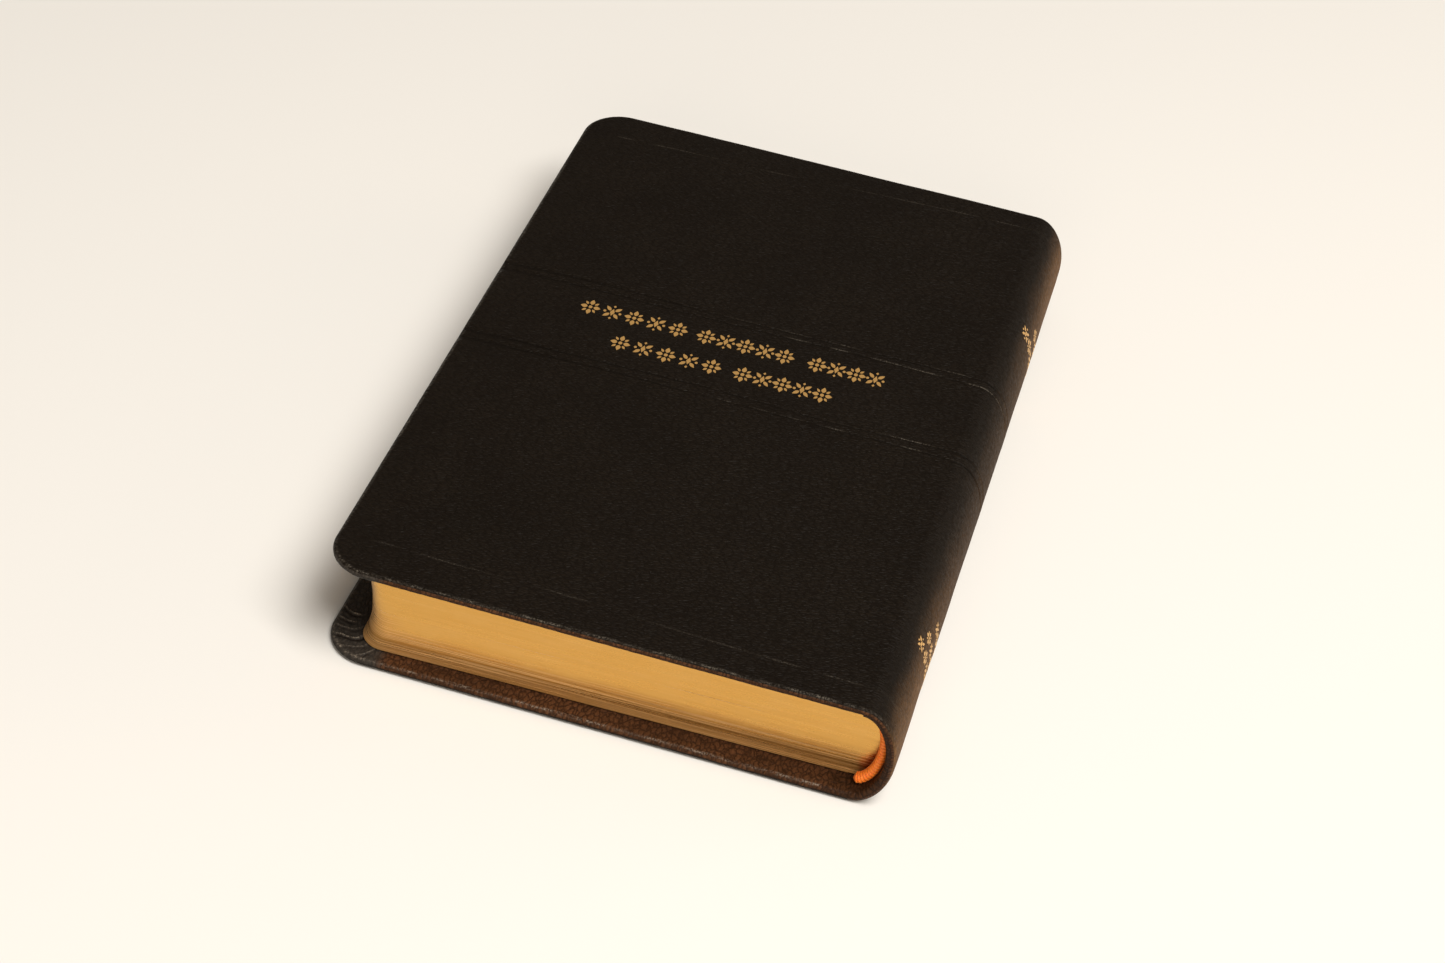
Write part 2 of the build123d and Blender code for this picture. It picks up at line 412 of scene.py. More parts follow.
def cloth_material(name, low, high, pitch, rough=0.85):
    """Plain weave: over and under threads at the given pitch in mm."""
    s = Shader(name, low, rough, specular=0.3)
    xyz = s.split(s.object_mm())
    k = math.pi / pitch
    warp = s.math("ABSOLUTE", s.math("SINE", s.math("MULTIPLY", xyz["Y"], k)))
    weft = s.math("ABSOLUTE", s.math("SINE", s.math("MULTIPLY", xyz["Z"], k)))
    weave = s.math("MAXIMUM", warp, weft)
    slub = s.noise(s.object_mm(), 1.5, detail=3.0)
    color = s.mix(s.math("MULTIPLY", weave, s.ramp(slub, 0.2, 0.8)), low, high)
    return s.finish(color, None, s.bump(weave, 0.06))


def silk_material():
    """Silk thread wound over a cord: bright strands, with painted shade in the gaps between them."""
    s = Shader("band_silk", (0.75, 0.22, 0.04), 0.42, specular=0.3)
    sheet = s.attribute("sheet")
    strand = s.math("ABSOLUTE", s.math("SINE", s.math("MULTIPLY", s.split(sheet)["X"], math.pi / 0.16)))
    fuzz = s.noise(sheet, 3.0, detail=4.0)
    gap_painted_shade = s.attribute("wear", "Fac")
    color = s.mix(s.ramp(fuzz, 0.3, 0.7), (1.0, 0.16, 0.008), (1.0, 0.32, 0.04))
    color = s.mix(s.math("MULTIPLY", gap_painted_shade, 0.5), color, (0.55, 0.06, 0.006))
    s.main.inputs["Sheen Weight"].default_value = 0.12
    s.main.inputs["Sheen Roughness"].default_value = 0.3
    return s.finish(color, None, s.bump(strand, 0.03))


# painted_sheen on the cover leather is the brown painted over the rounded spine as sheen.
SKIN = leather_material("cover_leather",
                        (0.0056, 0.0038, 0.0025), (0.0122, 0.0086, 0.0056), (0.15, 0.13, 0.105),
                        coarse=0.8, depth=0.18, rough=(0.36, 0.52), painted_sheen=((0.098, 0.050, 0.020), 1.0, 13.5))
# Turned-in leather: dark leather whose orange-brown is painted reflection of the gilt edge; near the
# fore-edge corners it gives way to a dull grey-brown where no gold is reflected.
TURNED = leather_material("turned_leather",
                          (0.024, 0.0105, 0.0050), (0.108, 0.045, 0.019), (0.28, 0.235, 0.185),
                          coarse=1.2, depth=0.16, rough=(0.36, 0.52), corner=(0.056, 0.047, 0.039),
                          lie=(1.20, 0.65))
GILT = gilt_material()
FOIL = foil_material()
PAGE = page_material()
SILK = silk_material()
ENDPAPER = paper_material("endpaper", (0.70, 0.63, 0.50), (0.80, 0.74, 0.62))
BOARD = paper_material("grey_board", (0.30, 0.27, 0.22), (0.42, 0.38, 0.31), 1.6, 0.05)
KRAFT = paper_material("kraft", (0.36, 0.23, 0.12), (0.48, 0.32, 0.18), 1.2)
MULL = cloth_material("mull_cloth", (0.55, 0.51, 0.42), (0.74, 0.70, 0.60), 0.9)
TAPE = cloth_material("linen_tape", (0.60, 0.55, 0.44), (0.80, 0.76, 0.66), 0.45)
THREAD = cloth_material("linen_thread", (0.62, 0.58, 0.48), (0.84, 0.80, 0.70), 0.3)


# ---------------------------------------------------------------- the leather sheet
# One skin wraps the book. s runs across it: 0 at the middle of the spine, positive
# to the front cover and negative to the back cover; y runs along the book.

ARC = np.linspace(0, math.pi / 2, 721)


def arc_lengths():
    """Length along a quarter of the spine's outer ellipse, up to each angle in ARC."""
    x, z = X_AXIS + SPINE_A * np.cos(ARC), Z_MID * np.sin(ARC)
    return np.concatenate([[0], np.cumsum(np.hypot(np.diff(x), np.diff(z)))])


ARC_S = arc_lengths()
ARC_LENGTH = float(ARC_S[-1])
S_COVER = ARC_LENGTH + X_AXIS - X_COVER


def x_of(s):
    """X of the flat part of the sheet."""
    return X_AXIS - (np.abs(s) - ARC_LENGTH)


def relief(s, y):
    """How far the outer surface lies below its plain shape, and how worn it is."""
    a = np.abs(s)
    x = x_of(a)
    inland = np.clip((x - X_FORE) / 60.0, 0, 1)          # 0 at the fore-edge
    on_arc = smooth((ARC_LENGTH + 1.0 - a) / 4.0)        # 1 round the spine
    deep, worn = np.zeros(np.broadcast(s, y).shape), np.zeros(np.broadcast(s, y).shape)
    for i, line in enumerate(LINES_Y):
        at = line + 0.25 * waves(s, 0 * y, 20 + i, 60.0)
        width = 0.30 + 1.3 * (1 - inland) ** 3
        deep = deep + (0.12 + 0.30 * (1 - inland) ** 3) * bump_at(y, at, width)
        deep = deep - 0.035 * (bump_at(y, at + 0.75, 0.4) + bump_at(y, at - 0.75, 0.4))
        patches = smooth(0.45 + 0.55 * waves(s, 0 * y + 3.0 * i, 40 + i, 11.0))
        worn = worn + 1.0 * bump_at(y, at + 0.18, 0.12) * patches * (0.06 + 0.94 * smooth((x + 22) / 45))
        worn = worn - 0.9 * bump_at(y, at - 0.02, 0.22 + 0.3 * (1 - inland)) * (0.35 + 0.65 * on_arc)
        deep = deep + 0.14 * on_arc * bump_at(y, at, 0.30)
    to_fore = x - X_FORE
    to_end = HALF_Y - np.abs(y)
    end_line = END_LINE[0] + (END_LINE[1] - END_LINE[0]) * np.clip((x - X_FORE - 15) / 105.0, 0, 1)
    end_line = end_line + 0.2 * waves(s, 0 * y, 61, 50.0)
    inside_fore = smooth((to_fore - FORE_LINE) / 4.0)
    inside_end = smooth((to_end - 6.0) / 4.0)
    deep = deep + 0.05 * bump_at(to_end, end_line, 0.35) * inside_fore
    deep = deep + 0.06 * bump_at(to_fore, FORE_LINE + 0.15 * waves(0 * s, y, 62, 40.0), 0.5) * inside_end
    rubbed = smooth(0.55 + 0.5 * waves(s, y * 0, 63, 13.0))
    worn = worn + 0.45 * bump_at(to_end, end_line, 0.14) * inside_fore * rubbed
    at_fore = DROOP * np.clip(1 - to_fore / DROOP_W, 0, 1) ** 2
    deep = deep + at_fore + END_DROOP * np.clip(1 - to_end / END_DROOP_W, 0, 1) ** 2
    deep = deep + 0.08 + 0.055 * waves(s, y, 64, 42.0) + 0.02 * waves(s, y, 65, 14.0)
    return deep, worn


def end_samples(half, fine, coarse, corner=None):
    """Samples of Y from tail to head: rounded ends, and close together at each tooled line."""
    turns = np.linspace(0, math.pi / 2, 8)
    lip = COVER_T / 2
    rounded = -half + lip * (1 - np.cos(turns))
    corner = corner or fine
    stops = [(-half + lip, corner), (-half + 15, corner), (-half + 20, coarse)]
    for line in sorted(LINES_Y):
        stops += [(line - 1.35, 0.35), (line - 0.4, 0.12), (line + 0.4, 0.12)]
    stops += [(max(LINES_Y) + 1.35, 0.35), (half - 20, coarse), (half - 15, corner), (half - lip, corner)]
    return np.concatenate([rounded[:-1], spread_samples(stops), -rounded[:-1][::-1]])


def edge_distance(x, y):
    """Distance in from the cover's outline, whose fore-edge corners are rounded."""
    cx = np.maximum(X_FORE + CORNER_R - x, 0)
    cy = np.maximum(np.abs(y) - (HALF_Y - CORNER_R), 0)
    corner = CORNER_R - np.hypot(cx, cy)
    flat = np.minimum(x - X_FORE, HALF_Y - np.abs(y))
    return np.clip(np.where((cx > 0) & (cy > 0), corner, flat), 0, None)


def edge_rub(u, v, inset, arch):
    """Worn, beaded leather along the folded edge of the covers."""
    beads = smooth(0.55 + 0.55 * waves(u, v, 73, 1.3))
    beads = beads * (0.45 + 0.55 * smooth(0.6 + 0.5 * waves(u, v, 75, 8.0)))
    return 0.9 * bump_at(inset, 0.62, 0.25) * beads * smooth((arch - 0.35) / 0.25)


PLEAT_TURN = 16.0          # degrees from one pleat to the next


def pleats(x, y):
    """Gathered folds of the turned-in leather, fanned round each fore-edge corner."""
    px = X_FORE + CORNER_R + 2.5 - x
    py = np.abs(y) - (HALF_Y - CORNER_R - 3.5)
    radius = np.hypot(px, py)
    angle = np.degrees(np.arctan2(py, px))
    turn = angle + 7.0 * np.sin(0.55 * radius) + 2.5 * waves(x, y, 74, 9.0)
    number = np.floor((turn + 12) / PLEAT_TURN)
    across = ((turn + 12) / PLEAT_TURN - number - 0.5) * math.radians(PLEAT_TURN) * radius
    size = 0.75 + 0.35 * np.sin(2.4 * number + 0.7)
    crest = np.exp(-((across - 0.15) / 0.24) ** 2)
    hollow = np.exp(-((across - 0.70) / 0.45) ** 2)
    around = smooth((angle + 14) / 12) * smooth((92 - angle) / 14)
    start = 6.2 + 1.2 * np.sin(1.7 * number)
    reach = smooth((radius - start) / 2.0) * smooth((edge_distance(x, y) - 0.5) / 0.9)
    # The second value paints a highlight along each pleat's crest and shade in its hollow.
    return (size * (0.34 * crest - 0.20 * hollow) * around * reach,
            size * around * reach * (1.5 * crest ** 2 - 0.8 * hollow))


def lip_painted_reflection(obj):
    """Gives the folded edge's underside, up to its upper rim, the turned-in leather's orange-brown, a painted
    reflection of the gilt edge below.
    """
    for face in obj.data.polygons:
        x, z = face.center.x / MM - X_AXIS, face.center.z / MM - Z_MID
        out_x, out_z = (x / SPINE_A**2, z / Z_MID**2) if x > 0 else (0.0, z)
        size = math.hypot(out_x, out_z)
        if (face.normal.x * out_x + face.normal.z * out_z) / size < 0.70:
            face.material_index = 1


def cover_piece(name, front):
    """One cover: a thin closed panel of leather over board, with rounded edges and turn-ins."""
    side = 1 if front else -1
    half_t = COVER_T / 2
    y = end_samples(HALF_Y, 0.3, 1.1, corner=0.2)
    turns = np.linspace(0, math.pi / 2, 8)[:-1]
    lip = half_t * (1 - np.cos(turns))
    reach = X_COVER - X_FORE
    inner = spread_samples([(half_t, 0.2), (11.0, 0.24), (17.0, 1.1), (reach - 6.0, 1.1), (reach, 0.5)])
    offset = np.concatenate([lip, inner]) / reach
    start = X_FORE + CORNER_R - np.sqrt(np.clip(
        CORNER_R**2 - np.clip(np.abs(y) - (HALF_Y - CORNER_R), 0, CORNER_R) ** 2, 0, None))
    grid_y = np.broadcast_to(y[:, None], (len(y), len(offset)))
    grid_x = start[:, None] + offset[None, :] * (X_COVER - start[:, None])
    inset = edge_distance(grid_x, grid_y)
    arch = np.sqrt(np.clip(1 - np.clip(1 - inset / half_t, 0, 1) ** 2, 0, 1))
    s = side * (ARC_LENGTH + X_AXIS - grid_x)
    deep, worn = relief(s, grid_y)
    centre = half_t
    if front:
        droop = DROOP_SHARE * (DROOP * np.clip(1 - (grid_x - X_FORE) / DROOP_W, 0, 1) ** 2)
        centre = THICK - half_t - droop
        deep = deep - droop
    rolled = np.clip(arch, 0, 1)
    outer_z = centre + side * (half_t - deep) * rolled
    fold, fold_wear = pleats(grid_x, grid_y)
    crinkle = 0.05 * waves(grid_x, grid_y, 71, 3.5) + 0.04 * waves(grid_x, grid_y, 72, 1.7)
    border = smooth((COVER_T + 11.0 - inset) / 3.0)
    sunk = 0.33 * (1 - border) + (0.16 - fold - crinkle) * border
    inner_z = centre - side * (half_t - sunk) * rolled
    edge_wear = edge_rub(grid_x, grid_y, inset, arch)
    maker = MeshMaker()
    shape = grid_x.shape + (3,)
    sheet = np.stack([s, grid_y, np.zeros_like(s)], -1)
    inside = np.stack([s + 500.0, grid_y, np.zeros_like(s)], -1)
    outer = maker.grid(np.stack([grid_x, grid_y, outer_z], -1).reshape(shape), sheet,
                       worn + edge_wear, slot=0)
    # Inner face: painted highlight and shade of the pleats, the rubbed edge, and painted shade over the last
    # few millimetres before the spine.
    inner = maker.grid(np.stack([grid_x, grid_y, inner_z], -1).reshape(shape), inside,
                       0.9 * fold_wear + edge_wear - 0.4 * smooth((grid_x - X_COVER + 9.0) / 7.0), slot=1)
    maker.quads(np.stack([outer[:, -1], inner[:, -1]], 1), slot=1)
    obj = maker.piece(name, [SKIN, TURNED])
    if front:
        lip_painted_reflection(obj)
    return obj


def spine_piece(name, s0, s1):
    """A stretch of the spine's leather between two places across the sheet."""
    y = end_samples(HALF_Y, 0.5, 1.1)
    n = max(8, round(abs(s1 - s0) / 0.28))
    s = np.linspace(s0, s1, n + 1)
    t = np.interp(np.minimum(np.abs(s), ARC_LENGTH), ARC_S, ARC)
    sign = np.sign(s + 1e-12)
    flat = np.clip(np.abs(s) - ARC_LENGTH, 0, None)
    nx, nz = np.cos(t) * Z_MID, np.sin(t) * SPINE_A
    scale = np.hypot(nx, nz)
    nx, nz = nx / scale, sign * nz / scale
    px = X_AXIS + SPINE_A * np.cos(t) - flat
    pz = Z_MID + sign * Z_MID * np.sin(t)
    grid_y = np.broadcast_to(y[:, None], (len(y), len(s)))
    grid_s = np.broadcast_to(s[None, :], grid_y.shape)
    deep, worn = relief(grid_s, grid_y)
    to_end = HALF_Y - np.abs(grid_y)
    turned = TURNED_T * smooth((8.2 - to_end) / 2.0)
    thick = SPINE_T + turned
    half_t = thick / 2
    arch = np.sqrt(np.clip(1 - np.clip(1 - to_end / (COVER_T / 2), 0, 1) ** 2, 0, 1))
    out_by = -half_t + (half_t - deep) * arch
    in_by = -half_t - half_t * arch
    edge_wear = 0.6 * edge_rub(grid_s, grid_y, to_end, arch)

    def surface(by):
        return np.stack([px + nx * by, grid_y, pz + nz * by], -1)

    sheet = np.stack([grid_s, grid_y, np.zeros_like(grid_s)], -1)
    maker = MeshMaker()
    outer = maker.grid(surface(out_by), sheet, worn + edge_wear, slot=0)
    # The inner face is darkened all over: painted shade.
    inner = maker.grid(surface(in_by), sheet + np.array([500.0, 0, 0]), 0 * worn - 0.4, slot=1)
    maker.quads(np.stack([outer[:, -1], inner[:, -1]], 1), slot=1)
    maker.quads(np.stack([outer[:, 0], inner[:, 0]], 1), slot=1)
    obj = maker.piece(name, [SKIN, TURNED])
    lip_painted_reflection(obj)
    return obj


S_SEAM = 0.62 * ARC_LENGTH


def blend_front(obj):
    """For the piece between the upper half of the block and the front cover; only bakes its placement into
    its mesh.
    """
    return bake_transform(obj)


def blend_middle(obj):
    """For pieces between the lower and upper halves of the block; only bakes their placement into their mesh.
    """
    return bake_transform(obj)


def blend_back(obj):
    """For the piece between the back cover and the lower half of the block; only bakes its placement into its
    mesh.
    """
    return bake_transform(obj)


def make_leather():
    for name, front, body in (("front_cover_skin", True, "front_cover"),
                              ("back_cover_skin", False, "back_cover")):
        panel = cover_piece(name, front)
        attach(panel, body)
        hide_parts(body + "_leather")
    joint_front = spine_piece("front_joint_skin", S_SEAM, S_COVER)
    joint_back = spine_piece("back_joint_skin", -S_COVER, -S_SEAM)
    middle = spine_piece("spine_skin", -S_SEAM, S_SEAM)
    blend_front(joint_front)
    blend_back(joint_back)
    blend_middle(middle)
    for piece in (joint_front, joint_back, middle):
        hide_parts("spine_leather")


# ---------------------------------------------------------------- gold ornaments
# Rows of small flowers, lozenges and leaves stand where a binder blocks a title.

def petal(length, width, turn, at=(0.0, 0.0), steps=9):
    """A pointed leaf from a centre outwards."""
    t = np.linspace(0, 1, steps)
    half = 0.5 * width * np.sin(math.pi * t ** 0.8)
    side = np.concatenate([np.stack([length * t, half], 1), np.stack([length * t, -half], 1)[-2:0:-1]])
    c, s = math.cos(turn), math.sin(turn)
    return side @ np.array([[c, s], [-s, c]]) + np.array(at)


def lozenge(width, height, at=(0.0, 0.0)):
    return np.array([(width / 2, 0), (0, height / 2), (-width / 2, 0), (0, -height / 2)]) + np.array(at)


def dot(radius, at=(0.0, 0.0), steps=14):
    t = np.linspace(0, 2 * math.pi, steps, endpoint=False)
    return radius * np.stack([np.cos(t), np.sin(t)], 1) + np.array(at)


def flower(width, height):
    """Four petals round a dot, with a smaller leaf between each pair."""
    shapes = [dot(0.10 * width)]
    for k in range(8):
        turn = k * math.pi / 4
        long, wide, out = (0.36, 0.24, 0.16) if k % 2 == 0 else (0.25, 0.13, 0.24)
        at = (out * width * math.cos(turn), out * width * math.sin(turn))
        shapes.append(petal(long * width, wide * width, turn, at))
    return [shape * np.array([1.0, height / width]) for shape in shapes]


def sprig(width, height):
    """A tall lozenge between two pairs of leaves, over and under a pair of dots."""
    shapes = [lozenge(0.24 * width, 0.50 * width)]
    for side in (-1, 1):
        shapes.append(dot(0.075 * width, (side * 0.40 * width, 0.0)))
        shapes.append(lozenge(0.15 * width, 0.17 * width, (0.0, side * 0.42 * width)))
        for tilt in (0.75, -0.75):
            turn = tilt if side > 0 else math.pi - tilt
            base = (0.15 * width * math.cos(turn), 0.15 * width * math.sin(turn))
            shapes.append(petal(0.40 * width, 0.19 * width, turn, base))
    return [shape * np.array([1.0, height / width]) for shape in shapes]


def row(centre, length, width, height):
    """A row of alternating ornaments filling a length."""
    count = max(1, round(length / (1.07 * width)))
    pitch = (length - width) / max(1, count - 1)
    shapes = []
    for k in range(count):
        at = np.array([centre[0] + (k - (count - 1) / 2) * pitch, centre[1]])
        glyph = flower(width, height) if k % 2 == 0 else sprig(width, height)
        shapes += [shape + at for shape in glyph]
    return shapes


def foil_piece(name, shapes, place, lift=0.035):
    """Thin foil shapes on the leather; place turns sheet coordinates into a point and a normal."""
    points, sheet, faces = [], [], []
    for shape in shapes:
        n = len(shape)
        middle = shape.mean(0)
        rim = np.vstack([shape, middle])
        at, normal = place(rim[:, 0], rim[:, 1])
        base = len(points)
        points += list(at + normal * lift) + list(at[:n] - normal[:n] * 0.06)
        sheet += [(u, v, 0) for u, v in rim] + [(u, v, 0) for u, v in shape]
        for k in range(n):
            m = (k + 1) % n
            faces.append((base + k, base + m, base + n))
            faces.append((base + m, base + k, base + n + 1 + k, base + n + 1 + m))
    mesh = bpy.data.meshes.new(name)
    mesh.from_pydata([tuple(p * MM) for p in points], [], faces)
    layer = mesh.attributes.new("sheet", "FLOAT_VECTOR", "POINT")
    layer.data.foreach_set("vector", np.array(sheet, np.float32).ravel())
    mesh.materials.append(FOIL)
    obj = bpy.data.objects.new(name, mesh)
    bpy.context.scene.collection.objects.link(obj)
    bm = bmesh.new()
    bm.from_mesh(mesh)
    bmesh.ops.recalc_face_normals(bm, faces=bm.faces)
    bm.to_mesh(mesh)
    bm.free()
    return obj


def on_front(x, y):
    """Places foil on the front cover, from X and Y."""
    s = ARC_LENGTH + X_AXIS - x
    deep, _ = relief(s, y)
    z = THICK - deep
    normal = np.zeros((len(x), 3))
    normal[:, 2] = 1
    return np.stack([x, y, z], 1), normal


def on_spine(s, y):
    """Places foil on the rounded spine, from sheet coordinates."""
    t = np.interp(np.abs(s), ARC_S, ARC)
    sign = np.sign(s + 1e-12)
    nx, nz = np.cos(t) * Z_MID, sign * np.sin(t) * SPINE_A
    scale = np.hypot(nx, nz)
    deep, _ = relief(s, y)
    normal = np.stack([nx / scale, 0 * s, nz / scale], 1)
    at = np.stack([X_AXIS + SPINE_A * np.cos(t), y, Z_MID + sign * Z_MID * np.sin(t)], 1)
    return at - normal * deep[:, None], normal


ORNAMENT = (4.6, 5.6)      # width and height on the cover
# Centre and length of each group: three in the upper row and two in the lower
COVER_ROWS = ((-27.0, 11.9, 26.0), (0.0, 11.9, 23.5), (24.2, 11.9, 18.5),
              (-16.2, 1.4, 26.5), (11.6, 1.4, 23.5))
# Place, height and length (in parts of ARC_LENGTH) of each row on the spine
SPINE_ROWS = ((50.0, 4.4, 1.30), (57.0, 4.0, 0.66),
              (-66.6, 3.6, 1.25), (-62.0, 3.4, 0.98), (-55.8, 3.4, 0.66))


def make_foil():
    shapes = []
    for x, y, length in COVER_ROWS:
        shapes += row((x, y), length, *ORNAMENT)
    cover = foil_piece("cover_ornament", shapes, on_front)
    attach(cover, "front_cover")
    shapes = []
    for y, size, share in SPINE_ROWS:
        shapes += row((0.0, y), share * ARC_LENGTH, 0.86 * size, size)
    blend_middle(foil_piece("spine_ornament", shapes, on_spine))


# ---------------------------------------------------------------- text block

HOLLOW_SAG = 1.9           # depth of the hollow fore-edge
HOLLOW_Z = Z_MID - 1.9     # height of its deepest place, below the middle
SKEW = 0.0185              # slope of the soft block's lean: its fore-edge sits towards the tail
LEVEL_GAP = 0.10           # height of one group of leaves in the block's edge
FLYLEAF_IN = 0.09          # how far the flyleaves stop short of the block's edges
FLYLEAF_BACK = 1.6         # and short of its rounded back, clear of the folding joint


def block_back(z):
    up = np.clip(np.abs(z - Z_MID) / BLOCK_HALF, 0, 1)
    return X_AXIS + BLOCK_A * np.sqrt(1 - up**2)


def block_fore(z):
    """The hollow fore-edge, deepest a little below the middle of the block."""
    low, high = HOLLOW_Z - block_lo[2], top_hi[2] - HOLLOW_Z
    reach = np.where(z < HOLLOW_Z, low, high)
    return PAGE_X + HOLLOW_SAG * (1 - np.clip(np.abs(z - HOLLOW_Z) / reach, 0, 1) ** 2)


def leaf_outline(x0, x1, corner_steps=14, long_steps=90, short_steps=70):
    """A leaf's outline from the spine at the tail round to the spine at the head, and its outward way."""
    t = np.linspace(0, math.pi / 2, corner_steps + 1)[1:-1]
    inner_x, inner_y = x0 + PAGE_R, PAGE_Y - PAGE_R
    long_x = np.linspace(x1, inner_x, long_steps)
    short_y = np.linspace(-inner_y, inner_y, short_steps)
    ways = [np.tile((0.0, -1.0), (long_steps, 1)), np.stack([-np.sin(t), -np.cos(t)], 1),
            np.tile((-1.0, 0.0), (short_steps, 1)), np.stack([-np.cos(t), np.sin(t)], 1),
            np.tile((0.0, 1.0), (long_steps, 1))]
    bases = [np.stack([long_x, np.full(long_steps, -inner_y)], 1), np.tile((inner_x, -inner_y), (len(t), 1)),
             np.stack([np.full(short_steps, inner_x), short_y], 1), np.tile((inner_x, inner_y), (len(t), 1)),
             np.stack([long_x[::-1], np.full(long_steps, inner_y)], 1)]
    way = np.concatenate(ways)
    return np.concatenate(bases) + PAGE_R * way, way


def leaf_stack(z, step, seed, slots=(0, 1, 2), back=0.05):
    """Leaves as a stack of cut edges; step is how far each level stands out, back how far short
    of the rounded back the leaves stop."""
    rows = []
    for k, height in enumerate(z):
        outline, way = leaf_outline(float(block_fore(height)), float(block_back(height)) - back)
        along = np.arange(len(outline)) * 1.9
        shift = step[k] + 0.02 * waves(along, np.full(len(outline), height), seed, 40.0)
        outline = outline + way * shift[:, None]
        outline[:, 1] += SKEW * np.clip(outline[:, 0], -60, X_AXIS)
        rows.append(np.column_stack([outline, np.full(len(outline), height)]))
    points = np.array(rows)
    maker = MeshMaker()
    wall = maker.grid(points, points, 0.0, slot=slots[0])
    maker.quads(np.stack([wall[:, -1], wall[:, 0]], 0), slot=slots[2])
    half = points.shape[1] // 2
    for k in (0, len(z) - 1):
        left, right = wall[k, :half], wall[k, ::-1][:half]
        maker.quads(np.stack([left, right], 0), slot=slots[1])
    return maker


def block_piece(name, z0, z1, seed):
    """Half of the text block. Its lower leaves have spread, so their edges show as fine steps."""
    levels = round((z1 - z0) / LEVEL_GAP) + 1
    z = np.linspace(z0, z1, levels)
    spread = smooth((Z_MID - 3.0 - z) / 6.0)
    step = np.random.default_rng(seed).normal(0, 1, levels) * (0.003 + 0.011 * spread)
    return leaf_stack(z, step, seed).piece(name, [GILT, PAGE, KRAFT], weld=1e-4, sharp=40)


def make_block():
    names = [f"section_{i:02d}" for i in range(1, 25)]
    split = (mid_hi[2] + split_lo[2]) / 2
    for name, z0, z1, seed, body, nodes in (
            ("lower_leaves", block_lo[2], split, 11, "lower_block", names[:12]),
            ("upper_leaves", split, top_hi[2], 12, "upper_block", names[12:])):
        block = block_piece(name, z0, z1, seed)
        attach(block, body)
        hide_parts(*nodes)
    for name, lo, hi, body, node in (("back_flyleaf", leaf_lo, leaf_hi, "back_leaf", "back_endpaper"),
                                     ("front_flyleaf", fly_lo, fly_hi, "front_leaf", "front_endpaper")):
        leaf = leaf_stack(np.array([lo[2], hi[2]]), (-FLYLEAF_IN, -FLYLEAF_IN), 13, back=FLYLEAF_BACK).piece(
            name, [GILT, ENDPAPER, ENDPAPER], weld=1e-4, sharp=40)
        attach(leaf, body)
        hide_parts(node)


# ---------------------------------------------------------------- sheets glued round the back

def wrap_piece(name, node, thick, material):
    """A thin sheet over the rounded back, as wide as its CAD node."""
    lo, hi = node_box(node)
    a, b = hi[0] - X_AXIS, (hi[2] - lo[2]) / 2
    t = np.linspace(-math.pi / 2, math.pi / 2, 73)
    y = np.linspace(lo[1], hi[1], max(8, round((hi[1] - lo[1]) / 3.0)))
    ys, ts = np.meshgrid(y, t, indexing="ij")
    maker = MeshMaker()
    layers = []
    for k in (0.0, thick):
        points = np.stack([X_AXIS + (a - k) * np.cos(ts), ys, Z_MID + (b - k) * np.sin(ts)], -1)
        layers.append(maker.grid(points, points, 0.0))
    outer, inner = layers
    for rim in (np.s_[0, :], np.s_[-1, :], np.s_[:, 0], np.s_[:, -1]):
        maker.quads(np.stack([outer[rim], inner[rim]], 1))
    return maker.piece(name, [material], weld=1e-4, sharp=40)


def make_wraps():
    tapes = [(f"linen_tape_{k}", f"sewing_tape_{k}", 0.25, TAPE, "tape") for k in (1, 2, 3)]
    for name, node, thick, material, slot in (("mull_sheet", "mull_cloth", 0.25, MULL, "mull"),
                                              ("hollow_sheet", "spine_hollow", 0.35, KRAFT, "kraft"), *tapes):
        sheet = wrap_piece(name, node, thick, material)
        blend_middle(sheet)
        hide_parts(node)


# ---------------------------------------------------------------- silk bands

BAND_R = 1.25              # half the thickness of a silk band, at its thickest


def band_piece(name, node):
    """Silk wound over a cord in small beads along the rounded back."""
    lo, hi = node_box(node)
    y_mid = (lo[1] + hi[1]) / 2
    y_mid += math.copysign(0.3, y_mid)
    half_z = (hi[2] - lo[2]) / 2
    n_along, n_round = 340, 20
    t = np.linspace(-math.pi / 2, math.pi / 2, n_along)
    inset = 0.95 - 0.40 * np.sin(t)          # the band lies deeper at the back cover's end
    a, b = hi[0] - X_AXIS - inset, half_z - inset
    x, z = X_AXIS + a * np.cos(t), Z_MID + b * np.sin(t)
    length = np.concatenate([[0], np.cumsum(np.hypot(np.diff(x), np.diff(z)))])
    nx, nz = np.cos(t) * b, np.sin(t) * a
    size = np.hypot(nx, nz)
    nx, nz = nx / size, nz / size
    around = np.linspace(0, 2 * math.pi, n_round, endpoint=False)
    beads = np.abs(np.sin(length[:, None] / 0.85 * math.pi + around[None, :] * 0.5)) ** 0.6
    taper = np.clip(np.minimum(length, length[-1] - length) / 0.8, 0.05, 1) ** 0.5
    radius = BAND_R * (0.80 + 0.20 * beads) * (taper * (1 - 0.16 * (1 + np.sin(t))))[:, None]
    out = radius * np.cos(around)[None, :]
    points = np.stack([x[:, None] + nx[:, None] * out,
                       y_mid + 1.08 * radius * np.sin(around)[None, :] + 0 * out,
                       z[:, None] + nz[:, None] * out], -1)
    sheet = np.stack([np.broadcast_to(length[:, None], out.shape), around[None, :] + 0 * out, 0 * out], -1)
    maker = MeshMaker()
    # The attribute holds 1 - beads: painted shade in the gaps between the beads.
    ids = maker.grid(points.transpose(1, 0, 2), sheet.transpose(1, 0, 2), (1 - beads).T, close_u=True)
    for end in (0, -1):
        cap = ids[:, end]
        half = n_round // 2
        maker.quads(np.stack([cap[:half], cap[::-1][:half]], 0))
    return maker.piece(name, [SILK], weld=1e-4, sharp=80)


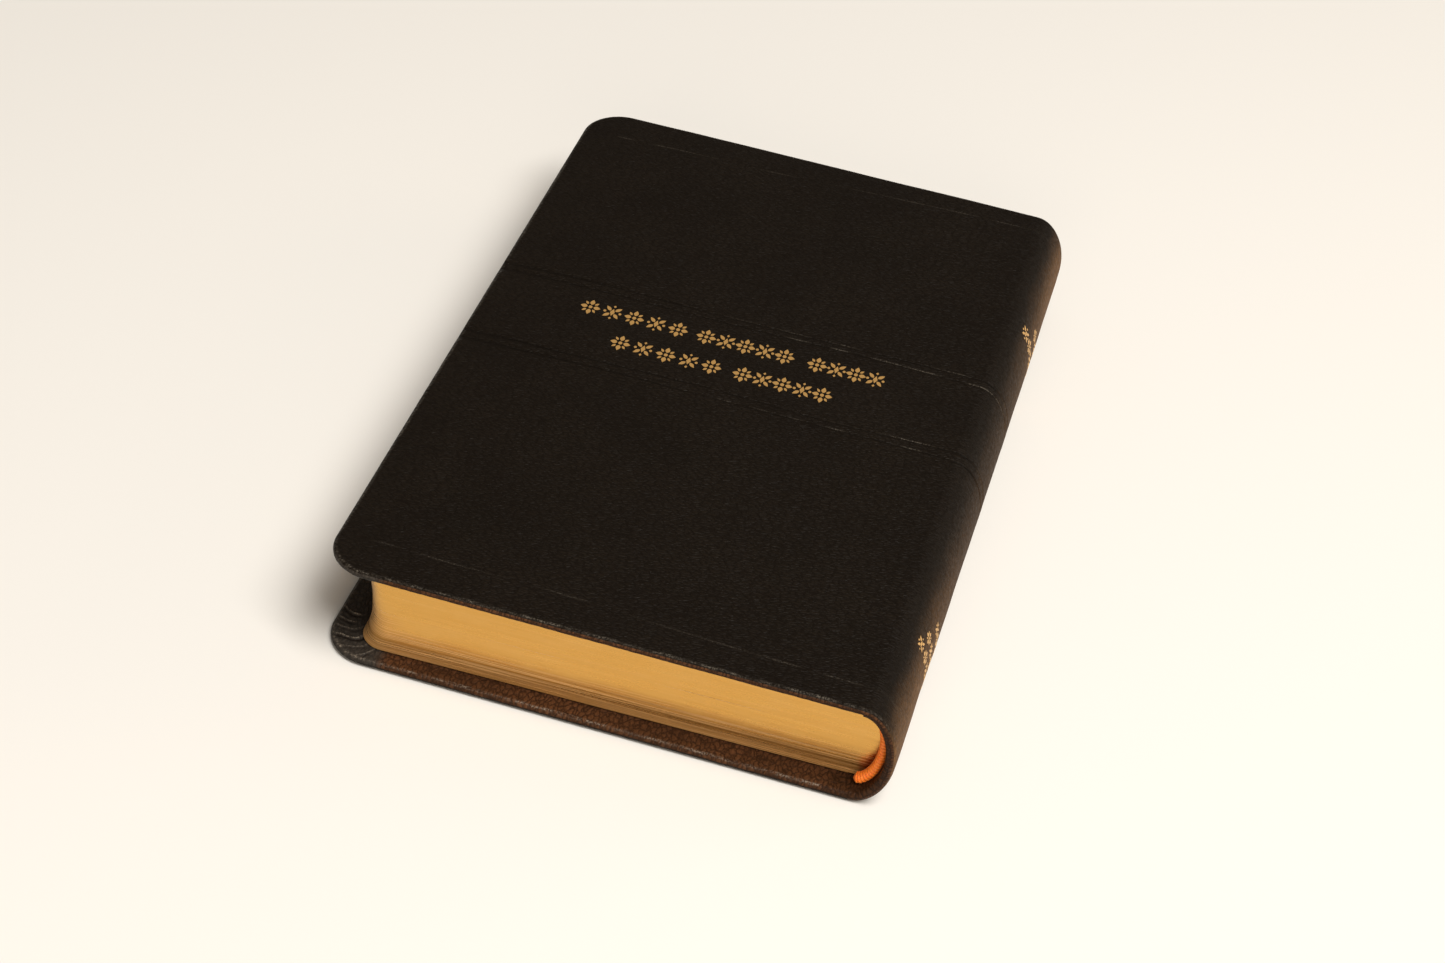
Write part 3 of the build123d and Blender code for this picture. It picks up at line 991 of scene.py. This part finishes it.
def make_bands():
    for end in ("head", "tail"):
        band = band_piece(end + "_band", end + "_band_silk")
        blend_middle(band)
        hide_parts(end + "_band_silk", end + "_band_core")


# ---------------------------------------------------------------- carried-over parts

def paint(node, material):
    """Gives a CAD node its material."""
    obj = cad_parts[node]
    obj.data.materials.clear()
    obj.data.materials.append(material)


def paint_nodes():
    for cover in ("front", "back"):
        paint(cover + "_cover_board", BOARD)
        paint(cover + "_cover_infill", BOARD)
        paint(cover + "_cover_pastedown", ENDPAPER)
    for half in ("lower", "upper"):
        paint("sewing_thread_" + half, THREAD)


# ---------------------------------------------------------------- stage, light, camera

def make_floor():
    mesh = bpy.data.meshes.new("floor")
    r = 3.0
    mesh.from_pydata([(-r, -r, 0), (r, -r, 0), (r, r, 0), (-r, r, 0)], [], [(0, 1, 2, 3)])
    floor = bpy.data.objects.new("floor", mesh)
    bpy.context.scene.collection.objects.link(floor)
    s = Shader("floor", (0.80, 0.795, 0.78), 0.7, specular=0.2)
    floor.data.materials.append(s.material)


def area_light(name, at, target, size, power, color):
    data = bpy.data.lights.new(name, "AREA")
    data.shape, data.size, data.size_y = "RECTANGLE", size[0], size[1]
    data.energy, data.color = power, color
    obj = bpy.data.objects.new(name, data)
    bpy.context.scene.collection.objects.link(obj)
    obj.location = at
    obj.rotation_euler = (Vector(target) - Vector(at)).to_track_quat("-Z", "Y").to_euler()


def make_light():
    world = bpy.data.worlds.new("studio")
    bpy.context.scene.world = world
    world.use_nodes = True
    world.node_tree.nodes["Background"].inputs["Color"].default_value = (1.0, 0.90, 0.78, 1)
    world.node_tree.nodes["Background"].inputs["Strength"].default_value = 0.16
    area_light("key", (0.75, -0.55, 1.75), (0.0, 0.0, 0.01), (1.1, 1.1), 48.0, (1.0, 0.95, 0.88))
    area_light("front", (0.25, -1.35, 0.50), (0.0, 0.0, 0.01), (1.0, 0.6), 5.5, (1.0, 0.86, 0.70))
    area_light("side", (1.5, 0.75, 0.45), (0.0, 0.0, 0.01), (0.9, 0.7), 4.0, (1.0, 0.76, 0.50))
    scene = bpy.context.scene
    scene.view_settings.view_transform = "Standard"
    scene.view_settings.look = "None"


CAM_AZIMUTH, CAM_ELEVATION, CAM_ROLL = 10.547, 39.432, 7.977
CAM_TARGET = Vector((5.0, -19.97, 12.0)) * MM
CAM_DISTANCE = 639.2 * MM
CAM_LENS, CAM_SENSOR = 70.50, 36.0


def make_camera():
    az, el, roll = (math.radians(v) for v in (CAM_AZIMUTH, CAM_ELEVATION, CAM_ROLL))
    back = Vector((math.sin(az) * math.cos(el), -math.cos(az) * math.cos(el), math.sin(el)))
    right = Vector((0, 0, 1)).cross(back).normalized()
    up = back.cross(right)
    right, up = right * math.cos(roll) + up * math.sin(roll), up * math.cos(roll) - right * math.sin(roll)
    data = bpy.data.cameras.new("camera")
    data.lens, data.sensor_width = CAM_LENS, CAM_SENSOR
    data.clip_start, data.clip_end = 0.01, 20
    cam = bpy.data.objects.new("camera", data)
    bpy.context.scene.collection.objects.link(cam)
    cam.matrix_world = Matrix.Translation(CAM_TARGET + back * CAM_DISTANCE) @ Matrix(
        (right, up, back)).transposed().to_4x4()
    bpy.context.scene.camera = cam


make_camera()
make_light()
make_floor()
make_leather()
make_foil()
make_block()
make_wraps()
make_bands()
paint_nodes()
